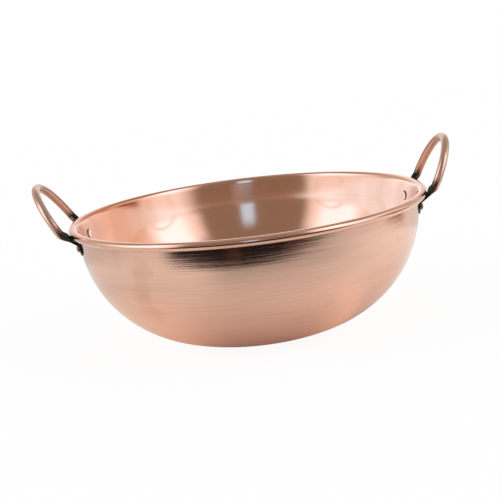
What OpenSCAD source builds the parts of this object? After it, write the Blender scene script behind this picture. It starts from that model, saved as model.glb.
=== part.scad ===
// Copper jam pan: a spun copper bowl with a wired rim and two riveted loop handles.
// Millimetres, +Z up. The origin is the centre of the flat base, on the table.
// The two handles stand on the X axis.

/* [Bowl] */
// Diameter over the rolled rim
rim_d = 360; // [300:1:400]
// Height from the table to the top of the rim
pan_h = 129; // [115:1:145]
// Diameter of the flat base
base_d = 110; // [80:1:140]
// Thickness of the copper sheet
sheet = 1.2; // [0.8:0.1:1.6]
// How far the straight wall above the belly flares outward, in degrees from upright
wall_flare = 7.4; // [5:0.1:10]

/* [Rim] */
// Diameter of the steel wire inside the rim
wire_d = 5.3; // [4:0.1:6]
// Gap between the two butted ends of the wire
wire_butt = 1.5; // [0.5:0.1:3]
// Slit between the curled edge of the sheet and the wall
curl_slit = 0.3; // [0.2:0.05:0.6]

/* [Handles] */
// Diameter of the round copper bar
bar_d = 8; // [6:0.1:9]
// Distance of the loops outside the rim, to the centre of the bar
loop_out = 1; // [0:0.1:4]
// Centre-line radius of the left loop
loop_r_left = 52; // [46:0.5:55]
// Centre-line radius of the right loop
loop_r_right = 44; // [41:0.5:50]
// Height of the left loop above the rim wire, along its lean
loop_rise_left = 50.7; // [46:0.5:60]
// Height of the right loop above the rim wire, along its lean
loop_rise_right = 51.6; // [46:0.5:60]
// Outward lean of the left loop, in degrees from upright
lean_left = 30.8; // [20:0.5:36]
// Outward lean of the right loop, in degrees from upright
lean_right = 26; // [20:0.5:36]
// Length of each loop end, from the level of the rim wire up to the bend
bend_h = 4; // [3:0.1:6]
// Height above the rim wire at which the left bar turns in under the bead
turn_in_left = -0.3; // [-2:0.1:2]
// Height above the rim wire at which the right bar turns in under the bead
turn_in_right = 1.5; // [-2:0.1:2]

/* [Feet] */
// Angle around the pan between the middle of the left handle and each of its feet
foot_angle_left = 12.8; // [12:0.1:16]
// Angle around the pan between the middle of the right handle and each of its feet
foot_angle_right = 12; // [11:0.1:15]
// Width of the flattened foot at the rivet
foot_w = 15; // [13:0.5:18]
// Width of the foot where it comes out from under the rim
neck_w = 10; // [8:0.5:12]
// Thickness of the flattened foot
foot_t = 2.2; // [1.6:0.1:3]

/* [Rivets] */
// Diameter of the rivet shank
rivet_d = 5; // [4:0.1:6]
// Distance of the rivets below the top of the rim
rivet_drop = 18.5; // [17:0.5:24]
// Diameter of the domed head outside
dome_d = 7.5; // [6.5:0.1:11]
// Height of the domed head outside
dome_h = 1.9; // [1.4:0.1:3]
// Diameter of the low head inside
low_d = 10; // [8:0.1:11]
// Height of the low head inside
low_h = 1.2; // [0.8:0.1:2]

/* [Fits] */
// Clearance between the wire and the curled sheet
wire_fit = 0.1; // [0.05:0.05:0.2]
// Clearance between faces that are riveted together
seat_fit = 0.1; // [0.05:0.05:0.2]
// Clearance around each rivet shank
shank_fit = 0.05; // [0.02:0.01:0.1]
// Clearance between the handle bar and the rim bead it passes under
bead_fit = 0.6; // [0.3:0.1:1]

/* [Hidden] */
$fn = 96;

rim_r = rim_d / 2;
base_r = base_d / 2;
bar_r = bar_d / 2;

// Bead: the sheet curled outward around the wire
curl_r = wire_d / 2 + wire_fit;
bead_r = curl_r + sheet;
bead_x = rim_r - bead_r;
bead_z = pan_h - bead_r;
curl_end = acos((curl_r - curl_slit) / bead_r) - wall_flare - 180;

// Section of the outer surface: the belly is one arc, tangent to the base and to a straight
// wall, and the wall is tangent to the inside of the bead
top_x = bead_x - curl_r * cos(wall_flare);
top_z = bead_z + curl_r * sin(wall_flare);
run_x = top_x - base_r;
belly_r = (run_x * cos(wall_flare) - top_z * sin(wall_flare)) / (1 - sin(wall_flare));
belly_top = belly_r * (1 - sin(wall_flare));

// Rivets stand square to the outer face, on the straight wall or on a belly that reaches them.
// Along a rivet, 0 is the outer face.
rivet_z = pan_h - rivet_drop;
on_belly = rivet_z < belly_top;
rivet_tilt = on_belly ? asin(1 - rivet_z / belly_r) : wall_flare;
rivet_x = on_belly ? base_r + belly_r * cos(rivet_tilt)
                   : top_x - (top_z - rivet_z) * tan(wall_flare);

// Depth of the wall's hollow behind the flat of a low head, around the pan and up the section
low_sag = pow(low_d / 2, 2) / 2 * cos(rivet_tilt) / rivet_x;
low_bow = rivet_z - low_d / 2 < belly_top ? pow(low_d / 2, 2) / 2 / belly_r : 0;
low_base = -sheet - seat_fit - max(low_sag, low_bow);
foot_in = seat_fit;
foot_out = foot_in + foot_t;
dome_base = foot_out + seat_fit;

// Distance from the pan's axis to a face of a foot, off outside the wall at its rivet
function foot_x(z, off) = rivet_x + off / cos(rivet_tilt) - (rivet_z - z) * tan(rivet_tilt);

// Foot and neck: the bar ends at the elbow beside the bead, is thinned as it passes under the
// bead, and goes down to the foot
foot_top = bead_z - bead_r - sheet;
elbow_reach = bar_r + bead_r + bead_fit;
under_fall = 50;
under_reach = bead_r + bead_fit + foot_t / 2;
under_x = bead_x + under_reach * cos(under_fall);
under_z = bead_z - under_reach * sin(under_fall);
neck_z = foot_top - 2 * foot_t;
neck_x = foot_x(neck_z, foot_in + foot_t / 2);

// Forging proportions: the neck starts just inside the bar, ends just inside the foot,
// and the bar is upset a little at each bend
neck_start_share = 0.98;
neck_end_share = 0.9;
shoulder_share = 0.9;
knuckle = 1.02;
neck_start = neck_start_share * bar_r * sqrt(2);
neck_end = neck_end_share * foot_t;
shoulder = shoulder_share * foot_w / 2;

// Half width of the thinned bar under the bead, as a share of the bar's radius
under_share = 1.1;

// Angle around the pan that the plate for one foot is cut from
foot_span = 20;

// Steps of the bowl's section, in degrees
belly_step = 3;
curl_step = 15;

// Points along an arc, without its first one, no further apart than step degrees
function arc(centre, r, from, to, step) =
    let (n = ceil(abs(to - from) / step))
    [for (i = [1:n]) centre + r * [cos(from + (to - from) * i / n), sin(from + (to - from) * i / n)]];

// One face of the bowl's section, t inside the outer face: base, belly, wall and curl
function sheet_face(t) = concat(
    [[0, t], [base_r, t]],
    arc([base_r, belly_r], belly_r - t, -90, -wall_flare, belly_step),
    [[top_x - t * cos(wall_flare), top_z + t * sin(wall_flare)]],
    arc([bead_x, bead_z], curl_r + t, 180 - wall_flare, 90, curl_step),
    arc([bead_x, bead_z], curl_r + t, 90, 0, curl_step),
    arc([bead_x, bead_z], curl_r + t, 0, curl_end, curl_step)
);

// 2D section of the bowl, from the middle of the base to the curled edge
module bowl_section() {
    outer = sheet_face(0);
    inner = sheet_face(sheet);
    last = len(inner) - 1;
    polygon(concat(outer, [for (i = [0:last]) inner[last - i]]));
}

// Angle between a handle's middle and its feet; turn is 180 for the left handle
function foot_angle(turn) = turn == 0 ? foot_angle_right : foot_angle_left;

// Turns its children to one foot of a handle; side is -1 for the front foot, 1 for the back
module at_foot(turn, side) {
    rotate([0, 0, turn + side * foot_angle(turn)]) children();
}

// Moves children whose +Z is the rivet's outward axis, with z counted from the wall's outer face
module at_rivet() {
    translate([rivet_x, 0, rivet_z])
        rotate([0, 90 + rivet_tilt, 0]) children();
}

// Hole for one rivet, through the wall and the foot
module rivet_hole() {
    at_rivet()
        translate([0, 0, -foot_w])
            cylinder(d = rivet_d + 2 * shank_fit, h = 2 * foot_w);
}

module bowl() {
    color("#d9a183")
        difference() {
            rotate_extrude() bowl_section();
            for (turn = [0, 180])
                for (side = [-1, 1])
                    at_foot(turn, side) rivet_hole();
        }
}

module rim_wire() {
    gap_angle = wire_butt / bead_x * 180 / PI;
    color("#8d8f92")
        rotate([0, 0, 90 + gap_angle / 2])
            rotate_extrude(angle = 360 - gap_angle)
                translate([bead_x, bead_z]) circle(d = wire_d);
}

// Curved plate that follows the outside of the wall, wider than one foot
module foot_shell() {
    low = rivet_z - foot_w;
    high = rivet_z + foot_w;
    rotate([0, 0, -foot_span / 2])
        rotate_extrude(angle = foot_span)
            polygon([
                [foot_x(low, foot_in), low],
                [foot_x(low, foot_out), low],
                [foot_x(high, foot_out), high],
                [foot_x(high, foot_in), high]
            ]);
}

// 2D outline of a foot seen from outside, in y and z
module foot_outline() {
    translate([0, rivet_z]) circle(d = foot_w);
    polygon([
        [-shoulder, rivet_z],
        [shoulder, rivet_z],
        [neck_w / 2, foot_top],
        [-neck_w / 2, foot_top]
    ]);
}

// Flattened foot with its rivet hole
module foot_plate() {
    difference() {
        intersection() {
            foot_shell();
            translate([rim_r / 2, 0, 0])
                rotate([90, 0, 90])
                    linear_extrude(rim_r) foot_outline();
        }
        rivet_hole();
    }
}

// Round bar between two points, with a slightly upset knuckle at each bend
module rod(from, to) {
    span = to - from;
    reach = norm(span);
    translate(from)
        rotate([0, acos(span.z / reach), atan2(span.y, span.x)])
            cylinder(r = bar_r, h = reach);
    for (p = [from, to])
        translate(p) sphere(bar_r * knuckle);
}

// Points on both sides of a line through stations, each a place and a half thickness
function band(stations) =
    let (last = len(stations) - 1)
    let (edge = function (i, way)
        let (a = stations[max(0, i - 1)][0], b = stations[min(last, i + 1)][0])
        let (along = (b - a) / norm(b - a))
        stations[i][0] + way * stations[i][1] * [along.y, -along.x])
    concat([for (i = [0:last]) edge(i, 1)], [for (i = [0:last]) edge(last - i, -1)]);

// Forged neck in the frame of its foot: from the elbow, sideways by shift.x, under the bead,
// sideways by shift.y, down to the foot
module neck(elbow, shift) {
    half = neck_start / 2;
    under_half = under_share * bar_r;
    intersection() {
        rotate([90, 0, 0])
            translate([0, 0, -2 * foot_w])
                linear_extrude(4 * foot_w)
                    polygon(band([
                        [elbow, half],
                        [[under_x, under_z], foot_t / 2],
                        [[neck_x, neck_z], neck_end / 2]
                    ]));
        translate([rim_r / 2, 0, 0])
            rotate([90, 0, 90])
                linear_extrude(rim_r)
                    polygon([
                        [shift.x - half, elbow.y + bar_r],
                        [shift.x - half, elbow.y],
                        [shift.y - under_half, under_z],
                        [-neck_w / 2, neck_z],
                        [-neck_w / 2, rivet_z],
                        [neck_w / 2, rivet_z],
                        [neck_w / 2, neck_z],
                        [shift.y + under_half, under_z],
                        [shift.x + half, elbow.y],
                        [shift.x + half, elbow.y + bar_r]
                    ]);
    }
}

// One handle: a leaning loop of bar whose ends turn in under the bead to two riveted feet
module handle(turn, lean, radius, rise, turn_in) {
    spread = foot_angle(turn);
    loop_x = rim_r + loop_out;
    centre_h = rise - radius;
    tail = acos(min(1, max(-1, (centre_h - bend_h) / radius)));
    end_h = centre_h - radius * cos(tail);
    bend = [loop_x + end_h * sin(lean), radius * sin(tail), bead_z + end_h * cos(lean)];
    bend_r = norm([bend.x, bend.y]);
    elbow = [bead_x + sqrt(pow(elbow_reach, 2) - pow(turn_in, 2)), bead_z + turn_in];

    // Angle past the foot's middle at distance r, on the way from the foot to the bend
    function past(r) = (atan2(bend.y, bend.x) - spread) * (r - neck_x) / (bend_r - neck_x);

    elbow_turn = spread + past(elbow.x);
    rotate([0, 0, turn]) {
        translate([loop_x, 0, bead_z])
            rotate([0, lean, 0])
                translate([0, 0, centre_h])
                    rotate([0, 90, 0])
                        rotate([0, 0, tail])
                            rotate_extrude(angle = 360 - 2 * tail)
                                translate([radius, 0]) circle(bar_r);
        for (side = [-1, 1]) {
            at_elbow = [elbow.x * cos(elbow_turn), side * elbow.x * sin(elbow_turn), elbow.y];
            rod([bend.x, side * bend.y, bend.z], at_elbow);
            rotate([0, 0, side * spread]) {
                neck(elbow, side * [elbow.x * sin(past(elbow.x)), under_x * sin(past(under_x))]);
                foot_plate();
            }
        }
    }
}

module handle_left() {
    color("#c98a6a") handle(180, lean_left, loop_r_left, loop_rise_left, turn_in_left);
}

module handle_right() {
    color("#c98a6a") handle(0, lean_right, loop_r_right, loop_rise_right, turn_in_right);
}

// 2D half section of a low domed head, its flat at y = 0
module head_section(diameter, height) {
    ball = (pow(diameter / 2, 2) + pow(height, 2)) / (2 * height);
    intersection() {
        translate([0, height - ball]) circle(ball);
        square([diameter / 2, height]);
    }
}

// One rivet, turned about its own axis: low head inside the bowl, shank, dome on the foot
module rivet(turn, side) {
    color("#caa089")
        at_foot(turn, side)
            at_rivet()
                rotate_extrude() {
                    translate([0, dome_base]) head_section(dome_d, dome_h);
                    translate([0, low_base]) square([rivet_d / 2, dome_base - low_base]);
                    translate([0, low_base]) mirror([0, 1]) head_section(low_d, low_h);
                }
}

module rivet_left_front() {
    rivet(180, 1);
}

module rivet_left_back() {
    rivet(180, -1);
}

module rivet_right_front() {
    rivet(0, -1);
}

module rivet_right_back() {
    rivet(0, 1);
}

bowl();
rim_wire();
handle_left();
handle_right();
rivet_left_front();
rivet_left_back();
rivet_right_front();
rivet_right_back();
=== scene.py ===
import math
import bpy
from mathutils import Matrix, Vector


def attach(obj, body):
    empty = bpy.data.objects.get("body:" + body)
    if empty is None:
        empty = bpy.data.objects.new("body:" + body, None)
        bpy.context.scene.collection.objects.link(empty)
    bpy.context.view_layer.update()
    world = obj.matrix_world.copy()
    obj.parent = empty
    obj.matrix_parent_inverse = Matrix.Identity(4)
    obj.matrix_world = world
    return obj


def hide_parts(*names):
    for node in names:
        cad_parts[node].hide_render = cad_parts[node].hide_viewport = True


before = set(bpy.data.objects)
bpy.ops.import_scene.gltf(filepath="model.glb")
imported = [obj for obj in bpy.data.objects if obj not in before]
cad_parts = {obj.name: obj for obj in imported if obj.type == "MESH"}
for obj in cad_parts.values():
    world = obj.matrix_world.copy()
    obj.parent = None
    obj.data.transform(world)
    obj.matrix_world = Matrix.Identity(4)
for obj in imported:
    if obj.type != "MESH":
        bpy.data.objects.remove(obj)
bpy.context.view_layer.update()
mm = 0.001

# Sizes of the spun bowl, in millimetres, as in the solid model.
bowlSizes = {
    "rimDiameter": 360,
    "height": 129,
    "baseDiameter": 110,
    "sheet": 1.2,
    "wallFlare": 7.4,       # degrees that the straight wall above the belly flares outward
    "wireDiameter": 5.3,
    "wireFit": 0.1,
    "curlSlit": 0.3,
    "around": 288,          # faces round the pan
    "baseRings": 8,
    "bellyStep": 1.5,       # degrees between rings of the belly
    "wallRings": 10,
    "curlStep": 12,         # degrees between rings of the bead
}


# Bowl geometry shared by the lathe, the handles and the rivets

def bowlProfile(sizes):
    curl = sizes["wireDiameter"] / 2 + sizes["wireFit"]
    bead = curl + sizes["sheet"]
    beadX = sizes["rimDiameter"] / 2 - bead
    beadZ = sizes["height"] - bead
    flare = math.radians(sizes["wallFlare"])
    baseR = sizes["baseDiameter"] / 2
    topX = beadX - curl * math.cos(flare)
    topZ = beadZ + curl * math.sin(flare)
    belly = ((topX - baseR) * math.cos(flare) - topZ * math.sin(flare)) / (1 - math.sin(flare))
    return {
        "curl": curl, "bead": bead, "beadX": beadX, "beadZ": beadZ, "baseR": baseR,
        "belly": belly, "flare": flare, "topX": topX, "topZ": topZ,
        "curlEnd": math.acos((curl - sizes["curlSlit"]) / bead) - flare - math.pi,
    }


shape = bowlProfile(bowlSizes)


def wallPoint(z, offset):
    # A point of the straight wall, or offset outside its outer face, at height z.
    x = shape["topX"] + offset / math.cos(shape["flare"])
    return x - (shape["topZ"] - z) * math.tan(shape["flare"]), z


def arcPoints(centre, radius, start, end, step):
    count = max(1, math.ceil(abs(end - start) / math.radians(step)))
    angles = [start + (end - start) * i / count for i in range(1, count + 1)]
    return [(centre[0] + radius * math.cos(a), centre[1] + radius * math.sin(a)) for a in angles]


def sheetFace(sizes, inset):
    # One face of the sheet in section, from the middle of the base to the curled edge.
    rings = sizes["baseRings"]
    base = [(shape["baseR"] * k / rings, inset) for k in range(rings + 1)]
    belly = arcPoints((shape["baseR"], shape["belly"]), shape["belly"] - inset,
                      -math.pi / 2, -shape["flare"], sizes["bellyStep"])
    low = belly[-1]
    high = wallPoint(shape["topZ"] + inset * math.sin(shape["flare"]), -inset)
    rings = sizes["wallRings"]
    wall = [tuple(a + (b - a) * k / rings for a, b in zip(low, high)) for k in range(1, rings + 1)]
    curl = []
    stops = [math.pi - shape["flare"], math.pi / 2, 0, shape["curlEnd"]]
    for start, end in zip(stops, stops[1:]):
        curl += arcPoints((shape["beadX"], shape["beadZ"]), shape["curl"] + inset,
                          start, end, sizes["curlStep"])
    return base + belly + wall + curl


def newPiece(name, verts, edges, faces):
    mesh = bpy.data.meshes.new(name)
    mesh.from_pydata(verts, edges, faces)
    piece = bpy.data.objects.new(name, mesh)
    bpy.context.scene.collection.objects.link(piece)
    return piece


def storeValues(piece, layers, vectors=False):
    # One number, or one vector, for each point of the piece's mesh.
    for name, values in layers.items():
        layer = piece.data.attributes.new(name, "FLOAT_VECTOR" if vectors else "FLOAT", "POINT")
        if vectors:
            layer.data.foreach_set("vector", [v for point in values for v in point])
        else:
            layer.data.foreach_set("value", values)


def makeBowl(sizes):
    outer = sheetFace(sizes, 0)
    loop = outer + sheetFace(sizes, sizes["sheet"])[::-1]
    # One length runs up the outside, over the curled edge and back down the inside.
    along = [0.0]
    for a, b in zip(loop, loop[1:]):
        along.append(along[-1] + math.dist(a, b))
    count = sizes["around"]
    verts, faces, lengths, insides, rows = [], [], [], [], []
    for k, (r, z) in enumerate(loop):
        # The middle of the base is a single point, every other ring goes round the pan.
        turns = [2 * math.pi * i / count for i in range(count)] if r > 0 else [0.0]
        rows.append(list(range(len(verts), len(verts) + len(turns))))
        verts += [(r * math.cos(a) * mm, r * math.sin(a) * mm, z * mm) for a in turns]
        lengths += [along[k] * mm] * len(turns)
        insides += [0.0 if k < len(outer) else 1.0] * len(turns)
    for low, high in zip(rows, rows[1:]):
        for i in range(count):
            j = (i + 1) % count
            if len(low) == 1:
                faces.append((low[0], high[j], high[i]))
            elif len(high) == 1:
                faces.append((low[i], low[j], high[0]))
            else:
                faces.append((low[i], low[j], high[j], high[i]))
    piece = newPiece("bowl_shell", verts, [], faces)
    storeValues(piece, {"along": lengths, "inside": insides})
    mesh = piece.data
    lathe = mesh.uv_layers.new(name="lathe")
    for poly in mesh.polygons:
        turns = []
        for vi in poly.vertices:
            x, y, z = mesh.vertices[vi].co
            turns.append(math.atan2(y, x) / (2 * math.pi) % 1.0)
        if max(turns) - min(turns) > 0.5:
            turns = [t + 1 if t < 0.5 else t for t in turns]
        for li, vi, t in zip(poly.loop_indices, poly.vertices, turns):
            lathe.data[li].uv = (t, lengths[vi])
    mesh.polygons.foreach_set("use_smooth", [True] * len(mesh.polygons))
    mesh.update()
    return piece


# Sizes of the two loop handles, in millimetres and degrees.
handleSizes = {
    "bar": 8,
    "loopOut": 1,
    "radius": {"left": 52, "right": 44},
    "rise": {"left": 50.7, "right": 51.6},
    "lean": {"left": 30.8, "right": 26},
    "bendHeight": 4,
    "turnIn": {"left": -0.3, "right": 1.5},     # height above the wire at which the bar turns in
    "footAngle": {"left": 12.8, "right": 12},
    "footWidth": 15,
    "footThick": 2.2,
    "tipThick": 1.3,
    "tipStep": 10,          # degrees between stations round the end of a foot
    "shoulder": 3,          # height above the rivet from which the foot narrows
    "shoulderWidth": 13.5,
    "neckWidth": 10,
    "underBead": ((50, 1.21, 4.7), (16, 2.2, 4.3)),     # degrees below the wire, half sizes
    "seatFit": 0.1,
    "rivetDrop": 18.5,
    "elbowClear": 0.6,
    "beadClear": 0.4,
    "scorchFrom": 1.5,      # height above the wire up to which the bar is black from the forge
    "scorchOver": 13,       # and the length over which that fades
    "paintedLitOutside": 0.75,   # how much of the soot and painted shade is cleared off the lit outer side of the round bar
    "loopSteps": 30,        # stations on half a loop
    "fineSteps": 6,         # points between two stations
    "spacing": 1,
    "easing": 6,            # passes that round off what is left of corners
    "sides": 32,
    "squareness": 0.62,     # 1 leaves the flattened foot oval, lower makes it squarer
}


# Handle path: from the tip of one foot, under the bead, round the loop and back

def curvePath(points, steps):
    # Catmull-Rom through tuples of any length.
    out = []
    for i in range(len(points) - 1):
        p0 = points[max(i - 1, 0)]
        p1, p2 = points[i], points[i + 1]
        p3 = points[min(i + 2, len(points) - 1)]
        for s in range(steps):
            t = s / steps
            out.append(tuple(
                0.5 * (2 * b + (c - a) * t + (2 * a - 5 * b + 4 * c - d) * t * t
                       + (3 * b - a - 3 * c + d) * t ** 3)
                for a, b, c, d in zip(p0, p1, p2, p3)))
    out.append(points[-1])
    return out


def evenPath(points, spacing):
    # The same line with points an even distance apart.
    travel = [0.0]
    for a, b in zip(points, points[1:]):
        travel.append(travel[-1] + math.dist(a[:3], b[:3]))
    count = round(travel[-1] / spacing)
    out, k = [], 0
    for i in range(count + 1):
        want = travel[-1] * i / count
        while k < len(points) - 2 and travel[k + 1] < want:
            k += 1
        share = (want - travel[k]) / (travel[k + 1] - travel[k])
        out.append(tuple(a + (b - a) * share for a, b in zip(points[k], points[k + 1])))
    return out


def easePath(points, passes):
    # Rounds off what is left of corners, in place and in section alike.
    for _ in range(passes):
        inner = [tuple((a + 2 * b + c) / 4 for a, b, c in zip(*three))
                 for three in zip(points, points[1:], points[2:])]
        points = [points[0]] + inner + [points[-1]]
    return points


def beadPoint(fall, distance):
    a = math.radians(-fall)
    return shape["beadX"] + distance * math.cos(a), shape["beadZ"] + distance * math.sin(a)


def handlePath(sizes, hand):
    # Each entry is x, y, z, half width, half thickness, scorch, in the frame of a handle on +X.
    rivetZ = bowlSizes["height"] - sizes["rivetDrop"]
    foot = math.radians(sizes["footAngle"][hand])
    lean = math.radians(sizes["lean"][hand])
    radius, rise = sizes["radius"][hand], sizes["rise"][hand]
    barR, flat = sizes["bar"] / 2, sizes["footThick"] / 2
    halfFoot, halfNeck = sizes["footWidth"] / 2, sizes["neckWidth"] / 2
    footX = bowlSizes["rimDiameter"] / 2 + sizes["loopOut"]
    centre = rise - radius
    start = math.asin((sizes["bendHeight"] - centre) / radius)

    def loopPoint(a):
        h = centre + radius * math.sin(a)
        x, z = footX + h * math.sin(lean), shape["beadZ"] + h * math.cos(lean)
        return x, -radius * math.cos(a), z, h

    bendX, bendY = loopPoint(start)[:2]
    bendR, bendTurn = math.hypot(bendX, bendY), math.atan2(-bendY, bendX)
    neckZ = shape["beadZ"] - shape["bead"] - bowlSizes["sheet"] - 2 * sizes["footThick"]
    neckR = wallPoint(neckZ, sizes["seatFit"] + flat)[0]
    leg = []

    def addStation(r, z, width, thick):
        # The leg runs straight, seen from above, from its foot to the bend.
        turn = foot + (bendTurn - foot) * max(0.0, (r - neckR) / (bendR - neckR))
        leg.append((r * math.cos(turn), -r * math.sin(turn), z, width, thick, 1.0))

    for degrees in range(sizes["tipStep"], 91, sizes["tipStep"]):
        a = math.radians(degrees)
        z = rivetZ - halfFoot * math.cos(a) * math.cos(shape["flare"])
        growth = (sizes["footThick"] - sizes["tipThick"]) * (1 - math.cos(a))
        thick = (sizes["tipThick"] + growth) / 2
        addStation(wallPoint(z, sizes["seatFit"] + thick)[0], z, halfFoot * math.sin(a), thick)
    shoulderZ = rivetZ + sizes["shoulder"]
    addStation(wallPoint(shoulderZ, sizes["seatFit"] + flat)[0], shoulderZ,
               sizes["shoulderWidth"] / 2, flat)
    addStation(neckR, neckZ, halfNeck, flat)
    gap = shape["bead"] + sizes["beadClear"]
    for fall, thick, width in sizes["underBead"]:
        r, z = beadPoint(fall, gap + thick)
        addStation(r, z, width, thick)
    turnIn = sizes["turnIn"][hand]
    reach = shape["bead"] + barR + sizes["elbowClear"]
    addStation(shape["beadX"] + math.sqrt(reach ** 2 - turnIn ** 2), shape["beadZ"] + turnIn,
               barR, barR)
    for k in range(sizes["loopSteps"] + 1):
        x, y, z, h = loopPoint(start + (math.pi / 2 - start) * k / sizes["loopSteps"])
        bare = max(0.0, h - sizes["scorchFrom"]) / sizes["scorchOver"]
        leg.append((x, y, z, barR, barR, max(0.0, 1 - bare)))
    other = [(x, -y, z, w, t, scorch) for x, y, z, w, t, scorch in leg[-2::-1]]
    fine = curvePath(leg + other, sizes["fineSteps"])
    return easePath(evenPath(fine, sizes["spacing"]), sizes["easing"])


def pathObject(name, path, turn):
    # A line of points that carries what the sweep needs: its middle, both directions and sizes.
    c, s = math.cos(turn), math.sin(turn)
    points = [Vector((x * c - y * s, x * s + y * c, z)) * mm for x, y, z, *sizes in path]
    faceDirs, sideDirs = [], []
    for i, p in enumerate(points):
        tangent = (points[min(i + 1, len(points) - 1)] - points[max(i - 1, 0)]).normalized()
        outward = Vector((p.x, p.y, 0)).normalized()
        face = (outward - tangent * outward.dot(tangent)).normalized()
        faceDirs.append(face)
        sideDirs.append(tangent.cross(face).normalized())
    piece = newPiece(name, points, [(i, i + 1) for i in range(len(points) - 1)], [])
    storeValues(piece, {"spine": points, "faceDir": faceDirs, "sideDir": sideDirs}, vectors=True)
    storeValues(piece, {"halfWidth": [p[3] * mm for p in path],
                        "halfThick": [p[4] * mm for p in path],
                        "scorch": [p[5] for p in path]})
    return piece


# Small helpers for building node trees

def feed(tree, node, inputs):
    # Links what is a socket to the node's input, and sets any other value on it.
    for key, value in inputs.items():
        if isinstance(value, bpy.types.NodeSocket):
            tree.links.new(value, node.inputs[key])
        else:
            node.inputs[key].default_value = value


def addNode(tree, kind, inputs=None, **settings):
    node = tree.nodes.new(kind)
    for key, value in settings.items():
        setattr(node, key, value)
    feed(tree, node, inputs or {})
    return node


def newTree(name, kind, inputs, outputs):
    tree = bpy.data.node_groups.new(name, kind)
    for direction, items in (("INPUT", inputs), ("OUTPUT", outputs)):
        for label, socketType, value in items:
            socket = tree.interface.new_socket(name=label, in_out=direction,
                                               socket_type=socketType)
            if value is not None:
                socket.default_value = value
    start = tree.nodes.new("NodeGroupInput")
    end = tree.nodes.new("NodeGroupOutput")
    return tree, start.outputs, end.inputs


def mathNode(tree, operation, a, b=0.0, c=0.0, clamp=False):
    return addNode(tree, "ShaderNodeMath", {0: a, 1: b, 2: c},
                   operation=operation, use_clamp=clamp).outputs[0]


def product(tree, *values):
    result = values[0]
    for value in values[1:]:
        result = mathNode(tree, "MULTIPLY", result, value)
    return result


def remainder(tree, share):
    return mathNode(tree, "SUBTRACT", 1.0, share)


def vectorNode(tree, operation, a, b=None, scale=None):
    inputs = {0: a, 1: b, "Scale": scale}
    node = addNode(tree, "ShaderNodeVectorMath",
                   {key: value for key, value in inputs.items() if value is not None},
                   operation=operation)
    return node.outputs["Value" if operation in ("DOT_PRODUCT", "LENGTH") else "Vector"]


def split(tree, vector):
    return tuple(addNode(tree, "ShaderNodeSeparateXYZ", {0: vector}).outputs)


def acrossFloor(tree, place):
    # The part of a place that lies in the floor's plane.
    x, y, z = split(tree, place)
    return addNode(tree, "ShaderNodeCombineXYZ", {"X": x, "Y": y}).outputs[0]


def ramp(tree, value, low, high, atLow=0.0, atHigh=1.0, kind="LINEAR"):
    return addNode(tree, "ShaderNodeMapRange", {
        "Value": value, "From Min": low, "From Max": high, "To Min": atLow, "To Max": atHigh},
        interpolation_type=kind).outputs[0]


def easedStep(tree, value, middle, softness):
    near = mathNode(tree, "SUBTRACT", middle, softness)
    far = mathNode(tree, "ADD", middle, softness)
    return ramp(tree, value, near, far, kind="SMOOTHSTEP")


def between(tree, value, limits, softness):
    low = easedStep(tree, value, limits[0], softness[0])
    high = easedStep(tree, value, limits[1], softness[1])
    return mathNode(tree, "SUBTRACT", low, high, clamp=True)


def layOver(tree, below, colour, share):
    return addNode(tree, "ShaderNodeMix", {0: share, 6: below, 7: colour},
                   data_type="RGBA").outputs[2]


def blend(tree, a, b, share):
    return addNode(tree, "ShaderNodeMix", {0: share, 2: a, 3: b}).outputs[0]


def namedValue(tree, name, dataType="FLOAT"):
    node = addNode(tree, "GeometryNodeInputNamedAttribute", {"Name": name}, data_type=dataType)
    return node.outputs["Attribute"]


def signedPower(tree, value, exponent):
    size = mathNode(tree, "POWER", mathNode(tree, "ABSOLUTE", value), exponent)
    return product(tree, mathNode(tree, "SIGN", value), size)


def sweepRing(tree, line, sides, radius):
    # A round bar along the line, of one radius throughout or of one at each point.
    shared = isinstance(radius, float)
    ring = addNode(tree, "GeometryNodeCurvePrimitiveCircle",
                   {"Resolution": sides, "Radius": radius if shared else 1.0})
    return addNode(tree, "GeometryNodeCurveToMesh", {
        "Curve": line, "Profile Curve": ring.outputs["Curve"], "Scale": 1.0 if shared else radius,
        "Fill Caps": True}).outputs["Mesh"]


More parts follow.
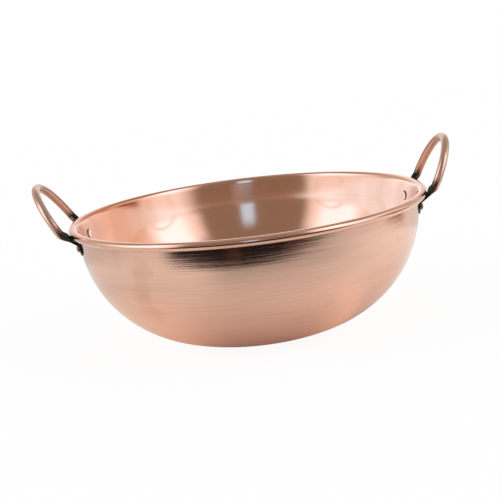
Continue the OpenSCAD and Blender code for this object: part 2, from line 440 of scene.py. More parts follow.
def buildBarTree():
    # Sweeps a round section along a line of points and forges it to each point's own sizes.
    tree, start, end = newTree("forgedBar", "GeometryNodeTree", [
        ("Geometry", "NodeSocketGeometry", None),
        ("Sides", "NodeSocketInt", 32),
        ("Squareness", "NodeSocketFloat", 0.6),
        ("Painted Lit Outside", "NodeSocketFloat", 0.6),
        ("Material", "NodeSocketMaterial", None),
    ], [("Geometry", "NodeSocketGeometry", None)])
    line = addNode(tree, "GeometryNodeMeshToCurve", {0: start["Geometry"]})
    swept = sweepRing(tree, line.outputs[0], start["Sides"], mm)
    place = addNode(tree, "GeometryNodeInputPosition").outputs[0]
    spine = namedValue(tree, "spine", "FLOAT_VECTOR")
    face = namedValue(tree, "faceDir", "FLOAT_VECTOR")
    side = namedValue(tree, "sideDir", "FLOAT_VECTOR")
    halfWidth = namedValue(tree, "halfWidth")
    halfThick = namedValue(tree, "halfThick")
    ray = vectorNode(tree, "NORMALIZE", vectorNode(tree, "SUBTRACT", place, spine))
    flatness = mathNode(tree, "DIVIDE", halfThick, halfWidth)
    # Round bar keeps an exponent of 1; the flatter the section, the squarer it gets.
    loose = mathNode(tree, "SUBTRACT", 1.0, flatness, clamp=True)
    exponent = remainder(tree, product(tree, loose, remainder(tree, start["Squareness"])))
    onFace = signedPower(tree, vectorNode(tree, "DOT_PRODUCT", ray, face), exponent)
    onSide = signedPower(tree, vectorNode(tree, "DOT_PRODUCT", ray, side), exponent)
    moved = vectorNode(tree, "ADD", spine, vectorNode(
        tree, "ADD",
        vectorNode(tree, "SCALE", face, scale=product(tree, onFace, halfThick)),
        vectorNode(tree, "SCALE", side, scale=product(tree, onSide, halfWidth))))
    # The forge fire blackened the flat ends all round. On the round bar the black also holds
    # painted shade on the side towards the pan, and is cleared off the lit outer side.
    litSide = product(tree, mathNode(tree, "MAXIMUM", onFace, 0.0), start["Painted Lit Outside"],
                    mathNode(tree, "POWER", flatness, 3.0))
    sootAndShade = mathNode(tree, "SUBTRACT", namedValue(tree, "scorch"), litSide, clamp=True)
    marked = addNode(tree, "GeometryNodeStoreNamedAttribute",
                     {"Geometry": swept, "Name": "sootAndShade", "Value": sootAndShade},
                     data_type="FLOAT", domain="POINT")
    setPlace = addNode(tree, "GeometryNodeSetPosition",
                       {"Geometry": marked.outputs[0], "Position": moved})
    real = addNode(tree, "GeometryNodeRealizeInstances", {"Geometry": setPlace.outputs[0]})
    finish = addNode(tree, "GeometryNodeSetMaterial",
                     {"Geometry": real.outputs[0], "Material": start["Material"]})
    tree.links.new(finish.outputs[0], end["Geometry"])
    return tree


# Sizes of the rivets, in millimetres.
rivetSizes = {
    "shank": 5,
    "domeWidth": 7.5,
    "domeHeight": 1.9,
    "domeFullness": 2.2,    # higher gives a head a flatter crown and a steeper side
    "lowWidth": 10,
    "lowHeight": 1.2,
    "lowFullness": 4.5,
    "headRings": 14,
    "crownward": 0.55,      # below 1 the rings of a head stand closer together at its crown
    "sides": 40,
    "dent": 0.04,
    "dentScale": 260.0,
    "dentLevel": 0.62,
}


def buildRivetTree(sizes):
    # Turns one rivet from its named sizes and sets it on each point, along that point's axis.
    tree, start, end = newTree("setRivet", "GeometryNodeTree", [
        ("Geometry", "NodeSocketGeometry", None),
        ("Sides", "NodeSocketInt", 40),
        ("Shank Width", "NodeSocketFloat", 0.005),
        ("Grip", "NodeSocketFloat", 0.0038),
        ("Dome Width", "NodeSocketFloat", 0.009),
        ("Dome Height", "NodeSocketFloat", 0.0024),
        ("Low Width", "NodeSocketFloat", 0.01),
        ("Low Height", "NodeSocketFloat", 0.0012),
        ("Dent", "NodeSocketFloat", 0.00004),
        ("Seed", "NodeSocketFloat", 0.0),
        ("Material", "NodeSocketMaterial", None),
    ], [("Geometry", "NodeSocketGeometry", None)])

    def turned(height, width, seat, direction, fullness):
        # A solid of revolution whose radius falls from the seat to the crown.
        tip = mathNode(tree, "MULTIPLY_ADD", height, direction, seat)
        foot = addNode(tree, "ShaderNodeCombineXYZ", {"Z": seat}).outputs[0]
        top = addNode(tree, "ShaderNodeCombineXYZ", {"Z": tip}).outputs[0]
        line = addNode(tree, "GeometryNodeCurvePrimitiveLine", {"Start": foot, "End": top})
        fine = addNode(tree, "GeometryNodeResampleCurve",
                       {"Curve": line.outputs[0], "Count": sizes["headRings"]})
        factor = addNode(tree, "GeometryNodeSplineParameter").outputs["Factor"]
        eased = mathNode(tree, "POWER", factor, sizes["crownward"])
        spot = vectorNode(tree, "ADD", foot, vectorNode(
            tree, "SCALE", vectorNode(tree, "SUBTRACT", top, foot), scale=eased))
        slid = addNode(tree, "GeometryNodeSetPosition",
                       {"Geometry": fine.outputs[0], "Position": spot})
        fall = mathNode(tree, "POWER", remainder(tree, mathNode(tree, "POWER", eased, fullness)),
                        1 / fullness)
        size = mathNode(tree, "MAXIMUM", product(tree, fall, 0.5), 0.01)
        return sweepRing(tree, slid.outputs[0], start["Sides"], product(tree, size, width))

    dome = turned(start["Dome Height"], start["Dome Width"], start["Grip"], 1.0,
                  sizes["domeFullness"])
    low = turned(start["Low Height"], start["Low Width"], 0.0, -1.0, sizes["lowFullness"])
    shankEnd = addNode(tree, "ShaderNodeCombineXYZ", {"Z": start["Grip"]}).outputs[0]
    shankLine = addNode(tree, "GeometryNodeCurvePrimitiveLine", {"End": shankEnd})
    shank = sweepRing(tree, shankLine.outputs[0], start["Sides"],
                      product(tree, start["Shank Width"], 0.5))
    rivet = addNode(tree, "GeometryNodeJoinGeometry")
    for part in (dome, low, shank):
        tree.links.new(part, rivet.inputs[0])
    axis = namedValue(tree, "axis", "FLOAT_VECTOR")
    toAxis = addNode(tree, "FunctionNodeAlignRotationToVector", {"Vector": axis}, axis="Z")
    points = addNode(tree, "GeometryNodeInstanceOnPoints", {
        "Points": start["Geometry"], "Instance": rivet.outputs[0], "Rotation": toAxis.outputs[0]})
    real = addNode(tree, "GeometryNodeRealizeInstances", {"Geometry": points.outputs[0]})
    # The heads were closed with a hammer, so they are a little dented.
    place = addNode(tree, "GeometryNodeInputPosition").outputs[0]
    dents = addNode(tree, "ShaderNodeTexNoise", {
        "Vector": place, "W": start["Seed"], "Scale": sizes["dentScale"], "Detail": 1.0},
        noise_dimensions="4D")
    level = mathNode(tree, "SUBTRACT", dents.outputs[0], sizes["dentLevel"])
    push = vectorNode(tree, "SCALE", axis, scale=product(tree, level, start["Dent"]))
    dented = addNode(tree, "GeometryNodeSetPosition", {"Geometry": real.outputs[0], "Offset": push})
    finish = addNode(tree, "GeometryNodeSetMaterial",
                     {"Geometry": dented.outputs[0], "Material": start["Material"]})
    tree.links.new(finish.outputs[0], end["Geometry"])
    return tree


def setInput(modifier, tree, label, value):
    for item in tree.interface.items_tree:
        if item.item_type == "SOCKET" and item.in_out == "INPUT" and item.name == label:
            modifier[item.identifier] = value
            return
    raise KeyError(label)


def applyTree(piece, tree, values):
    # Runs the tree on the piece and keeps the result as a plain mesh.
    modifier = piece.modifiers.new("shape", "NODES")
    modifier.node_group = tree
    for label, value in values.items():
        setInput(modifier, tree, label, value)
    graph = bpy.context.evaluated_depsgraph_get()
    made = bpy.data.meshes.new_from_object(
        piece.evaluated_get(graph), preserve_all_data_layers=True, depsgraph=graph)
    piece.modifiers.remove(modifier)
    piece.data = made
    made.materials.clear()
    made.materials.append(values["Material"])
    made.polygons.foreach_set("material_index", [0] * len(made.polygons))
    made.polygons.foreach_set("use_smooth", [True] * len(made.polygons))
    made.update()


# Small helpers for materials

def noise(tree, place, scale, detail):
    return addNode(tree, "ShaderNodeTexNoise",
                   {"Vector": place, "Scale": scale, "Detail": detail}).outputs[0]


def bump(tree, height, distance, over=None):
    inputs = {"Height": height, "Distance": distance}
    if over is not None:
        inputs["Normal"] = over
    return addNode(tree, "ShaderNodeBump", inputs).outputs[0]


def emptyTree(owner, outputKind):
    owner.use_nodes = True
    tree = owner.node_tree
    tree.nodes.clear()
    return tree, tree.nodes.new(outputKind)


def newMetal(name):
    material = bpy.data.materials.new(name)
    tree, output = emptyTree(material, "ShaderNodeOutputMaterial")
    shader = addNode(tree, "ShaderNodeBsdfPrincipled", {"Metallic": 1.0})
    tree.links.new(shader.outputs[0], output.inputs["Surface"])
    return material, tree, shader


def useGroup(tree, group, inputs):
    return addNode(tree, "ShaderNodeGroup", inputs, node_tree=group).outputs


def objectPosition(tree):
    return addNode(tree, "ShaderNodeTexCoord").outputs["Object"]


def lightPath(tree):
    return addNode(tree, "ShaderNodeLightPath").outputs


def pointValue(tree, name):
    return addNode(tree, "ShaderNodeAttribute", attribute_name=name).outputs["Fac"]


# Shader node groups, shared by the materials

def buildSpinLines():
    # Fine rings left by the lathe: long around the pan, close together along its section.
    tree, start, end = newTree("spinLines", "ShaderNodeTree", [
        ("Position", "NodeSocketVector", None),
        ("Along", "NodeSocketFloat", 0.0),
        ("Ring Spacing", "NodeSocketFloat", 0.001),
        ("Break Up", "NodeSocketFloat", 1.5),
        ("Seed", "NodeSocketFloat", 0.0),
    ], [("Wide", "NodeSocketFloat", None), ("Fine", "NodeSocketFloat", None)])
    outward = vectorNode(tree, "NORMALIZE", acrossFloor(tree, start["Position"]))
    x, y, z = split(tree, vectorNode(tree, "SCALE", outward, scale=start["Break Up"]))
    step = mathNode(tree, "DIVIDE", start["Along"], start["Ring Spacing"])
    spot = addNode(tree, "ShaderNodeCombineXYZ", {"X": x, "Y": y, "Z": step}).outputs[0]
    # Two widths of line, each with its scale and its detail
    for label, scale, detail in (("Wide", 1.0, 2.0), ("Fine", 4.3, 3.0)):
        lines = addNode(tree, "ShaderNodeTexNoise", {
            "Vector": spot, "W": start["Seed"], "Scale": scale, "Detail": detail},
            noise_dimensions="4D")
        tree.links.new(lines.outputs[0], end[label])
    return tree


# How tarnish sets in on any of the copper, and how painted shade darkens it where a mask holds
# shade
tarnishAndShadeLook = {
    "unevenness": 0.5,
    "spread": 1.6,          # how soon the unevenness shows as the mask rises
    "warmLevels": (0.02, 0.4),
    "darkLevels": (0.3, 0.75),
}


def buildTarnishAndShade(look):
    # Warms and darkens polished copper where the mask is high, as heat and handling do, and as
    # painted shade where a mask holds shade.
    tree, start, end = newTree("tarnishAndShade", "ShaderNodeTree", [
        ("Base", "NodeSocketColor", None),
        ("Warm", "NodeSocketColor", (0.55, 0.2, 0.07, 1)),
        ("Dark", "NodeSocketColor", (0.02, 0.012, 0.008, 1)),
        ("Mask", "NodeSocketFloat", 0.0),
        ("Position", "NodeSocketVector", None),
        ("Grain", "NodeSocketFloat", 180.0),
        ("Roughness", "NodeSocketFloat", 0.2),
        ("Dull", "NodeSocketFloat", 0.5),
    ], [("Color", "NodeSocketColor", None), ("Roughness", "NodeSocketFloat", None)])
    uneven = mathNode(tree, "MULTIPLY_ADD", noise(tree, start["Position"], start["Grain"], 4.0),
                      look["unevenness"], -look["unevenness"] / 2)
    shown = mathNode(tree, "MULTIPLY", start["Mask"], look["spread"], clamp=True)
    level = mathNode(tree, "ADD", start["Mask"], product(tree, uneven, shown), clamp=True)
    warm = ramp(tree, level, *look["warmLevels"])
    dark = ramp(tree, level, *look["darkLevels"])
    colour = layOver(tree, layOver(tree, start["Base"], start["Warm"], warm), start["Dark"], dark)
    tree.links.new(colour, end["Color"])
    tree.links.new(blend(tree, start["Roughness"], start["Dull"], dark), end["Roughness"])
    return tree


spinLines = buildSpinLines()
tarnishAndShade = buildTarnishAndShade(tarnishAndShadeLook)

# Looks of the spun copper
bowlLook = {
    "copper": (0.93, 0.585, 0.445, 1),
    "insideCopper": (0.93, 0.56, 0.42, 1),
    "streakCopper": (0.76, 0.43, 0.30, 1),      # in the deeper lathe lines
    "streakLevels": (0.45, 0.72),
    "streakShare": 0.42,
    "streakInside": 0.4,    # share of the streaks that is left on the inside
    "leftReflectedCopper": (0.79, 0.345, 0.205, 1),      # painted reflection of the pan's own copper, on the inside up to the left handle
    "leftEnd": (-0.112, 0.02),                  # a place and the softness to both sides of it
    "mirroredCopper": (1.0, 1.0, 1.0, 1),       # painted reflection: paler where the metal is seen in the metal, but painted shade at the top of the wall in front
    "mirroredFrontShade": (0.62, 0.38, 0.28, 1),     # but not at the top of the wall in front
    "frontEnd": (-0.10, 0.03),
    "frontRise": (0.108, 0.008),
    "lastBounce": (0.56, 0.43, 0.36, 1),        # stands in for the light beyond the last bounce,
    "lastRay": 3.5,                             # which is from this ray on
    "outsideRoughness": 0.10,
    "insideRoughness": 0.11,
    "scuffing": 0.08,
    "brushing": 0.35,
    "ringSpacing": 0.0017,
    "ringBreaks": 2.2,
    "ringDepth": 0.000045,
    "scratchSpacing": 0.000425,
    "scratchBreaks": 5.0,
    "scratchSeed": 4.0,
    "scratchDepth": 0.00001,
    "insideDepth": 0.25,    # share of both depths that is left on the burnished inside
    "smudgeScale": 14.0,
    "smudgeLevels": (0.62, 0.85),
    "smudgeShare": 0.18,
    "smudgeGrain": 60.0,
}


def spunCopper(look):
    material, tree, shader = newMetal("spunCopper")
    place = objectPosition(tree)
    x, y, z = split(tree, place)
    rays = lightPath(tree)
    inside = pointValue(tree, "inside")
    along = pointValue(tree, "along")
    rings = useGroup(tree, spinLines, {
        "Position": place, "Along": along, "Ring Spacing": look["ringSpacing"],
        "Break Up": look["ringBreaks"]})
    scratches = useGroup(tree, spinLines, {
        "Position": place, "Along": along, "Ring Spacing": look["scratchSpacing"],
        "Break Up": look["scratchBreaks"], "Seed": look["scratchSeed"]})

    # The copper as it is seen directly
    streak = ramp(tree, rings["Wide"], *look["streakLevels"], 0.0, look["streakShare"])
    streak = product(tree, streak, blend(tree, 1.0, look["streakInside"], inside))
    direct = layOver(tree, look["copper"], look["insideCopper"], inside)
    direct = layOver(tree, direct, look["streakCopper"], streak)
    within = mathNode(tree, "LESS_THAN", vectorNode(tree, "LENGTH", acrossFloor(tree, place)),
                      shape["beadX"] * mm)
    # Painted reflection: the inside towards the left handle is painted redder, as copper seen in
    # copper
    leftwards = remainder(tree, easedStep(tree, x, *look["leftEnd"]))
    direct = layOver(tree, direct, look["leftReflectedCopper"], product(tree, leftwards, within, inside))

    # And as it is seen in copper: painted reflection tones, with painted shade at the top of the
    # front wall
    behind = easedStep(tree, y, *look["frontEnd"])
    below = remainder(tree, easedStep(tree, z, *look["frontRise"]))
    mirrored = layOver(tree, look["mirroredFrontShade"], look["mirroredCopper"],
                       mathNode(tree, "MAXIMUM", behind, below))
    last = mathNode(tree, "GREATER_THAN", rays["Ray Depth"], look["lastRay"])
    base = layOver(tree, direct, mirrored, rays["Is Glossy Ray"])
    base = layOver(tree, base, (0, 0, 0, 1), last)

    mask = ramp(tree, noise(tree, place, look["smudgeScale"], 3.0), *look["smudgeLevels"],
                0.0, look["smudgeShare"])
    rough = blend(tree, look["outsideRoughness"], look["insideRoughness"], inside)
    worn = useGroup(tree, tarnishAndShade, {"Base": base, "Mask": mask, "Position": place,
                                    "Roughness": rough, "Grain": look["smudgeGrain"]})
    scuffs = product(tree, mathNode(tree, "SUBTRACT", scratches["Fine"], 0.5), look["scuffing"])
    worked = blend(tree, 1.0, look["insideDepth"], inside)
    wide = bump(tree, product(tree, rings["Wide"], worked), look["ringDepth"])
    fine = bump(tree, product(tree, scratches["Fine"], worked), look["scratchDepth"], wide)
    tangent = addNode(tree, "ShaderNodeTangent", direction_type="UV_MAP", uv_map="lathe")
    feed(tree, shader, {
        "Base Color": worn["Color"],
        "Roughness": mathNode(tree, "ADD", worn["Roughness"], scuffs),
        "Normal": fine,
        "Tangent": tangent.outputs[0],
        "Anisotropic": look["brushing"],
        "Emission Color": layOver(tree, (0, 0, 0, 1), look["lastBounce"], last),
        "Emission Strength": 1.0,
    })
    return material


# Looks of the handle bars
barLook = {
    "copper": (0.82, 0.54, 0.42, 1),
    "farShadedCopper": (0.54, 0.25, 0.155, 1),    # painted shade: the back halves of both loops are painted browner
    "farStart": (0.0, 0.02),
    "warm": (0.36, 0.17, 0.10, 1),
    "dark": (0.035, 0.030, 0.022, 1),
    "mirrored": (0.96, 0.80, 0.70, 1),      # painted reflection: paler where the bars are seen in the pan
    "mirroredShare": 0.8,
    "mirroredBeyond": 0.05,                 # from this distance on
    "roughness": 0.24,
    "sootRoughness": 0.38,
    "sootGrain": 240.0,
    "markScale": 420.0,
    "markDepth": 0.000012,
}


def handleCopper(look):
    material, tree, shader = newMetal("handleCopper")
    place = objectPosition(tree)
    rays = lightPath(tree)
    # Painted shade: the back halves of the loops are painted browner
    far = easedStep(tree, split(tree, place)[1], *look["farStart"])
    # The dark mask is forge soot near the feet, with painted shade on the side of the round bar
    # towards the pan
    worn = useGroup(tree, tarnishAndShade, {
        "Base": layOver(tree, look["copper"], look["farShadedCopper"], far),
        "Warm": look["warm"], "Dark": look["dark"], "Mask": pointValue(tree, "sootAndShade"),
        "Position": place, "Grain": look["sootGrain"],
        "Roughness": look["roughness"], "Dull": look["sootRoughness"]})
    # Painted reflection: the bars are painted paler where the pan reflects them
    distant = mathNode(tree, "GREATER_THAN", rays["Ray Length"], look["mirroredBeyond"])
    seen = product(tree, rays["Is Glossy Ray"], distant, look["mirroredShare"])
    feed(tree, shader, {
        "Base Color": layOver(tree, worn["Color"], look["mirrored"], seen),
        "Roughness": worn["Roughness"],
        "Normal": bump(tree, noise(tree, place, look["markScale"], 3.0), look["markDepth"]),
    })
    return material


# Looks of the rivets
rivetLook = {
    "copper": (0.93, 0.57, 0.43, 1),
    "warm": (0.40, 0.17, 0.10, 1),
    "dark": (0.05, 0.03, 0.02, 1),
    "roughness": 0.13,
    "darkRoughness": 0.3,
    "sideOxideAndShade": 0.55,      # how dark the side of a head is: partly oxide where polish doesn't reach, partly painted shade at its edge
    "sideTilts": (0.93, 0.70),
    "domeLevel": 0.30,      # and the dome outside, which isn't polished
    "domeTilts": (-0.2, 0.25),
    "grain": 500.0,
    "patchScale": 300.0,
    "patchDepth": 0.00002,
}


def rivetCopper(look):
    material, tree, shader = newMetal("rivetCopper")
    place = objectPosition(tree)
    # How far the surface faces away from the pan's axis: 1 on an outer dome, 0 at the side of
    # a head, -1 on the face of an inner one.
    normal = addNode(tree, "ShaderNodeTexCoord").outputs["Normal"]
    outward = vectorNode(tree, "NORMALIZE", acrossFloor(tree, place))
    tilt = vectorNode(tree, "DOT_PRODUCT", normal, outward)
    # The sides of the heads are darkened: partly oxide where polish doesn't reach, partly painted
    # shade for the dark edge of a head
    side = ramp(tree, mathNode(tree, "ABSOLUTE", tilt), *look["sideTilts"], 0.0, look["sideOxideAndShade"])
    dome = ramp(tree, tilt, *look["domeTilts"], 0.0, look["domeLevel"])
    worn = useGroup(tree, tarnishAndShade, {
        "Base": look["copper"], "Warm": look["warm"], "Dark": look["dark"],
        "Mask": mathNode(tree, "MAXIMUM", side, dome), "Position": place, "Grain": look["grain"],
        "Roughness": look["roughness"], "Dull": look["darkRoughness"]})
    feed(tree, shader, {
        "Base Color": worn["Color"],
        "Roughness": worn["Roughness"],
        "Normal": bump(tree, noise(tree, place, look["patchScale"], 3.0), look["patchDepth"]),
    })
    return material


# Looks of the wire inside the rim
wireLook = {
    "dark": (0.42, 0.43, 0.44, 1),
    "pale": (0.62, 0.62, 0.62, 1),
    "roughness": 0.35,
    "grain": 700.0,
    "grainDepth": 0.00005,
}


def drawnSteel(look):
    material, tree, shader = newMetal("drawnSteel")
    grain = noise(tree, objectPosition(tree), look["grain"], 2.0)
    feed(tree, shader, {
        "Base Color": layOver(tree, look["dark"], look["pale"], grain),
        "Roughness": look["roughness"],
        "Normal": bump(tree, grain, look["grainDepth"]),
    })
    return material


# Pieces

bowl = makeBowl(bowlSizes)
bowl.data.materials.append(spunCopper(bowlLook))
print("bowl turned:", len(bowl.data.polygons), "faces")

barTree = buildBarTree()
barMaterial = handleCopper(barLook)
handles = {}
for hand, turn in (("left", math.pi), ("right", 0.0)):
    path = handlePath(handleSizes, hand)
    handles[hand] = pathObject("handle_bar_" + hand, path, turn)
    applyTree(handles[hand], barTree, {"Sides": handleSizes["sides"], "Material": barMaterial,
                                       "Squareness": handleSizes["squareness"],
                                       "Painted Lit Outside": handleSizes["paintedLitOutside"]})
print("handles forged:", [len(h.data.polygons) for h in handles.values()], "faces")

rivetTree = buildRivetTree(rivetSizes)
rivetMaterial = rivetCopper(rivetLook)


def makeRivet(name, turn, seed):
    sizes = rivetSizes
    rivetZ = bowlSizes["height"] - handleSizes["rivetDrop"]
    rivetX = wallPoint(rivetZ, 0)[0]
    flare = shape["flare"]
    level = math.cos(flare)
    axis = Vector((level * math.cos(turn), level * math.sin(turn), -math.sin(flare)))
    middle = Vector((rivetX * math.cos(turn), rivetX * math.sin(turn), rivetZ))
    sag = (sizes["lowWidth"] / 2) ** 2 / 2 * math.cos(flare) / rivetX
    low = -bowlSizes["sheet"] - handleSizes["seatFit"] - sag
    top = handleSizes["footThick"] + 2 * handleSizes["seatFit"]
    seat = middle + axis * low
    piece = newPiece(name, [seat * mm], [], [])
    storeValues(piece, {"axis": [axis]}, vectors=True)
    applyTree(piece, rivetTree, {
        "Sides": sizes["sides"], "Shank Width": sizes["shank"] * mm, "Grip": (top - low) * mm,
        "Dome Width": sizes["domeWidth"] * mm, "Dome Height": sizes["domeHeight"] * mm,
        "Low Width": sizes["lowWidth"] * mm, "Low Height": sizes["lowHeight"] * mm,
        "Dent": sizes["dent"] * mm, "Seed": float(seed), "Material": rivetMaterial})
    return piece


leftFoot, rightFoot = (math.radians(handleSizes["footAngle"][h]) for h in ("left", "right"))
rivets = {
    "rivet_left_front": makeRivet("rivet_head_left_front", math.pi + leftFoot, 1),
    "rivet_left_back": makeRivet("rivet_head_left_back", math.pi - leftFoot, 2),
    "rivet_right_front": makeRivet("rivet_head_right_front", -rightFoot, 3),
    "rivet_right_back": makeRivet("rivet_head_right_back", rightFoot, 4),
}
print("rivets set:", [len(r.data.polygons) for r in rivets.values()], "faces")

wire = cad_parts["rim_wire"]
wire.data.materials.clear()
wire.data.materials.append(drawnSteel(wireLook))

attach(bowl, "root")
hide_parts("bowl")
for hand, piece in handles.items():
    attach(piece, "root")
    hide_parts("handle_" + hand)
for node, piece in rivets.items():
    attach(piece, "root")
    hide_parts(node)


# Camera, where the photograph was taken from
cameraPlace = {
    "distance": 1.100,
    "elevation": 12.83,     # degrees above the middle of the pan
    "turn": 1.6,            # degrees that the camera stands to the left of the front
    "roll": 6.72,           # degrees that the camera leans to its right
    "middle": 0.065,        # height that the elevation is measured from
    "aimSide": -0.00225,
    "aimHeight": 0.07994,
    "focal": 77.34,
    "sensor": 36,
    "nearest": 0.01,
}


def makeCamera(place):
    turn = math.radians(place["turn"])
    rise = math.radians(place["elevation"])
    right = Vector((math.cos(turn), -math.sin(turn), 0))
    back = Vector((-math.sin(turn), -math.cos(turn), 0))
    spot = back * (place["distance"] * math.cos(rise))
    spot.z = place["middle"] + place["distance"] * math.sin(rise)
    aim = right * place["aimSide"] + Vector((0, 0, place["aimHeight"]))
    look = (aim - spot).normalized()
    side = look.cross(Vector((0, 0, 1))).normalized()
    up = side.cross(look)
    roll = math.radians(place["roll"])
    upTilted = up * math.cos(roll) + side * math.sin(roll)
    sideTilted = look.cross(upTilted)
    data = bpy.data.cameras.new("camera")
    data.lens = place["focal"]
    data.sensor_width = place["sensor"]
    data.clip_start = place["nearest"]
    camera = bpy.data.objects.new("camera", data)
    turned = Matrix((sideTilted, upTilted, -look)).transposed()
    camera.matrix_world = Matrix.LocRotScale(spot, turned.to_quaternion(), None)
    bpy.context.scene.collection.objects.link(camera)
    bpy.context.scene.camera = camera


makeCamera(cameraPlace)


# Stage: a white floor and backdrop, and a studio that only the metal sees.
# Bearings are in degrees round the pan, 0 towards the camera and + to the right of it;
# rises are in degrees above the horizon and radii in metres from the pan's axis. A pair of
# limits comes with the softness at both, and a single limit with its own. A zone is bearings,
# their softness, rises, their softness and a colour.
stageLook = {
    "floorSize": 6.0,
    "floorWhite": (0.86, 0.86, 0.86, 1),
    "floorGlow": 0.88,
    "floorGlowStrength": 1.06,
    "leftPaper": 0.74,      # the paper as the metal sees it, on the left and on the right
    "rightPaper": 0.91,
    "paperBearings": ((30, 140), (40, 38)),
    "paperTint": (1.0, 0.89, 0.79),
    "dimBearings": ((-22, 52), (12, 40)),
    "dimRadii": (0.18, 0.36),
    "dim": 0.55,
    "nearRadii": (0.11, 0.25),      # close to the pan the paper is lighter, away from the front
    "nearBearings": ((-34, 40), (22, 26)),
    "nearEnd": (54, 12),
    "nearBehind": (140, 30),
    "nearTone": (0.46, 0.40, 0.28),
    "farRadii": (0.40, 0.45),
    "farDim": 0.2,
    "mat": (0.012, 0.009, 0.008, 1),
    "matWarm": (0.045, 0.022, 0.015, 1),
    "warmBearings": (((-14, -8), (3, 3)), ((17, 30), (3, 3))),
    "matBearings": ((-48, 50), (7, 7)),
    "matEdge": 0.362,       # straight in front
    "matCurve": 0.045,      # how much further out it is at the next bearing, to both sides
    "matCurveAt": 40.0,
    "matTilt": 0.0005,      # and with each degree to the right
    "matSoftness": 0.010,
    "backdrop": (1.0, 1.0, 1.0, 1),
    "bothSides": ((110, 160), (10, 8), (-20, 44), (4, 8), (0.62, 0.56, 0.52, 1)),
    "ceiling": (0.39, 0.38, 0.37, 1),
    "ceilingRise": (37, 9),
    "room": ((-48, 35), (5, 5), (-20, 76), (4, 13), (0.285, 0.228, 0.178, 1)),
    "lowRoom": ((-42, 40), (6, 11), (-20, 8), (2, 4), (0.27, 0.20, 0.15, 1)),
    "rightWindow": ((46, 76), (8, 8), (7, 55), (4, 4), (1.75, 1.72, 2.05, 1)),
    "leftWindow": ((-92, -58), (7, 7), (8, 55), (4, 4), (1.65, 1.66, 2.0, 1)),
    "doorwayFoot": ((1.2, 8.5), (1.6, 1.6), (5.6, 7), (0.4, 0.9), (0.45, 0.39, 0.38, 1)),
    "doorway": ((-6.5, 3.2), (1.6, 1.6), (7, 30), (0.9, 9), (0.62, 1.05, 1.5, 1)),
    "tanCard": ((82, 102), (4, 5), (-20, 7), (2, 4), (0.36, 0.17, 0.11, 1)),
    "tanRadius": (0.45, 0.03),
    "second": (1.2, 1.4, 1.6, 1),   # the studio as it is seen by way of copper in copper,
    "secondRay": 2.5,               # which is from this ray on
    "secondShare": 0.8,
}


def bearingOf(tree, direction):
    x, y, z = split(tree, direction)
    return mathNode(tree, "DEGREES", mathNode(tree, "ARCTAN2", x, product(tree, y, -1.0)))


def riseOf(tree, direction):
    return mathNode(tree, "DEGREES", mathNode(tree, "ARCSINE", split(tree, direction)[2]))


def paperTone(tree, look, radius, bearing):
    # The white paper as it is lit: darker in front and far off, lighter close by at the sides.
    tone = mathNode(tree, "MULTIPLY_ADD", between(tree, bearing, *look["paperBearings"]),
                    look["rightPaper"] - look["leftPaper"], look["leftPaper"])
    dim = product(tree, ramp(tree, radius, *look["dimRadii"], 0.0, 1.0 - look["dim"]),
                  between(tree, bearing, *look["dimBearings"]))
    tone = product(tree, tone, remainder(tree, dim),
                   ramp(tree, radius, *look["farRadii"], 1.0, 1.0 - look["farDim"]))
    aside = remainder(tree, between(tree, bearing, *look["nearBearings"]))
    around = mathNode(tree, "ABSOLUTE", bearing)
    for end in (easedStep(tree, bearing, *look["nearEnd"]),
                easedStep(tree, around, *look["nearBehind"])):
        aside = mathNode(tree, "SUBTRACT", aside, end, clamp=True)
    near = product(tree, ramp(tree, radius, *look["nearRadii"], 1.0, 0.0), aside)
    tint = vectorNode(tree, "ADD", vectorNode(tree, "SCALE", look["nearTone"], scale=near),
                      look["paperTint"])
    return vectorNode(tree, "SCALE", tint, scale=tone)


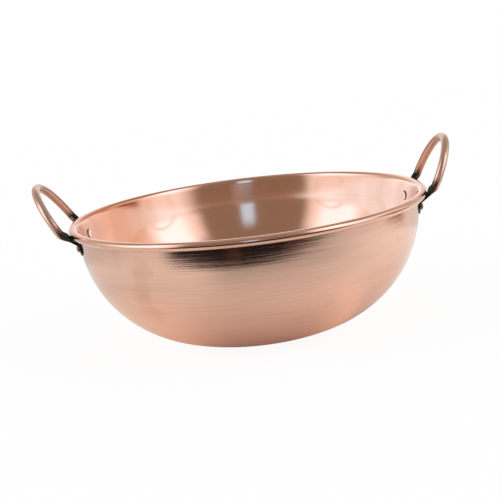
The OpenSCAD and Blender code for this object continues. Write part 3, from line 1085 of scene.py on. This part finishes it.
def floorMaterial(look):
    # White paper. Seen in the metal, it ends in front of the pan at a dark mat.
    material = bpy.data.materials.new("floorWhite")
    tree, output = emptyTree(material, "ShaderNodeOutputMaterial")
    rays = lightPath(tree)
    place = objectPosition(tree)
    bearing = bearingOf(tree, place)
    radius = vectorNode(tree, "LENGTH", place)
    aside = mathNode(tree, "POWER", mathNode(tree, "DIVIDE", bearing, look["matCurveAt"]), 2.0)
    edge = mathNode(tree, "MULTIPLY_ADD", aside, look["matCurve"], look["matEdge"])
    edge = mathNode(tree, "MULTIPLY_ADD", bearing, look["matTilt"], edge)
    mat = product(tree, easedStep(tree, radius, edge, look["matSoftness"]),
                  between(tree, bearing, *look["matBearings"]))
    matTone = look["mat"]
    for band in look["warmBearings"]:
        matTone = layOver(tree, matTone, look["matWarm"], between(tree, bearing, *band))
    bearings, softness, *rises, tan = look["tanCard"]
    card = product(tree, between(tree, bearing, bearings, softness),
                   easedStep(tree, radius, *look["tanRadius"]))
    mirrored = layOver(tree, paperTone(tree, look, radius, bearing), matTone, mat)
    mirrored = layOver(tree, mirrored, tan, card)
    colour = layOver(tree, look["floorWhite"], mirrored, rays["Is Glossy Ray"])
    paper = addNode(tree, "ShaderNodeBsdfDiffuse", {"Color": colour})
    glow = addNode(tree, "ShaderNodeEmission",
                   {"Color": (1, 1, 1, 1), "Strength": look["floorGlowStrength"]})
    mix = addNode(tree, "ShaderNodeMixShader", {
        0: product(tree, rays["Is Camera Ray"], look["floorGlow"]),
        1: paper.outputs[0], 2: glow.outputs[0]})
    tree.links.new(mix.outputs[0], output.inputs["Surface"])
    return material


def makeFloor(look):
    half = look["floorSize"] / 2
    corners = [(-half, -half, 0), (half, -half, 0), (half, half, 0), (-half, half, 0)]
    floor = newPiece("floor", corners, [], [(0, 1, 2, 3)])
    floor.data.materials.append(floorMaterial(look))


def makeWorld(look):
    # Plain white to the camera, and the studio to everything else.
    world = bpy.data.worlds.new("studio")
    tree, output = emptyTree(world, "ShaderNodeOutputWorld")
    rays = lightPath(tree)
    direction = addNode(tree, "ShaderNodeTexCoord").outputs["Generated"]
    bearing, rise = bearingOf(tree, direction), riseOf(tree, direction)

    def layZone(colour, zone, turned):
        bearings, softness, rises, riseSoftness, tone = zone
        share = product(tree, between(tree, turned, bearings, softness),
                        between(tree, rise, rises, riseSoftness))
        return layOver(tree, colour, tone, share)

    colour = layZone(look["backdrop"], look["bothSides"], mathNode(tree, "ABSOLUTE", bearing))
    colour = layOver(tree, colour, look["ceiling"], easedStep(tree, rise, *look["ceilingRise"]))
    for key in ("room", "lowRoom", "rightWindow", "leftWindow", "doorwayFoot", "doorway",
                "tanCard"):
        colour = layZone(colour, look[key], bearing)
    later = mathNode(tree, "GREATER_THAN", rays["Ray Depth"], look["secondRay"])
    colour = layOver(tree, colour, look["second"], product(tree, later, look["secondShare"]))
    colour = layOver(tree, colour, look["backdrop"], rays["Is Camera Ray"])
    glow = addNode(tree, "ShaderNodeBackground", {"Color": colour, "Strength": 1.0})
    tree.links.new(glow.outputs[0], output.inputs["Surface"])
    bpy.context.scene.world = world


makeFloor(stageLook)
makeWorld(stageLook)
bpy.context.scene.view_settings.view_transform = "Standard"
print("stage set")
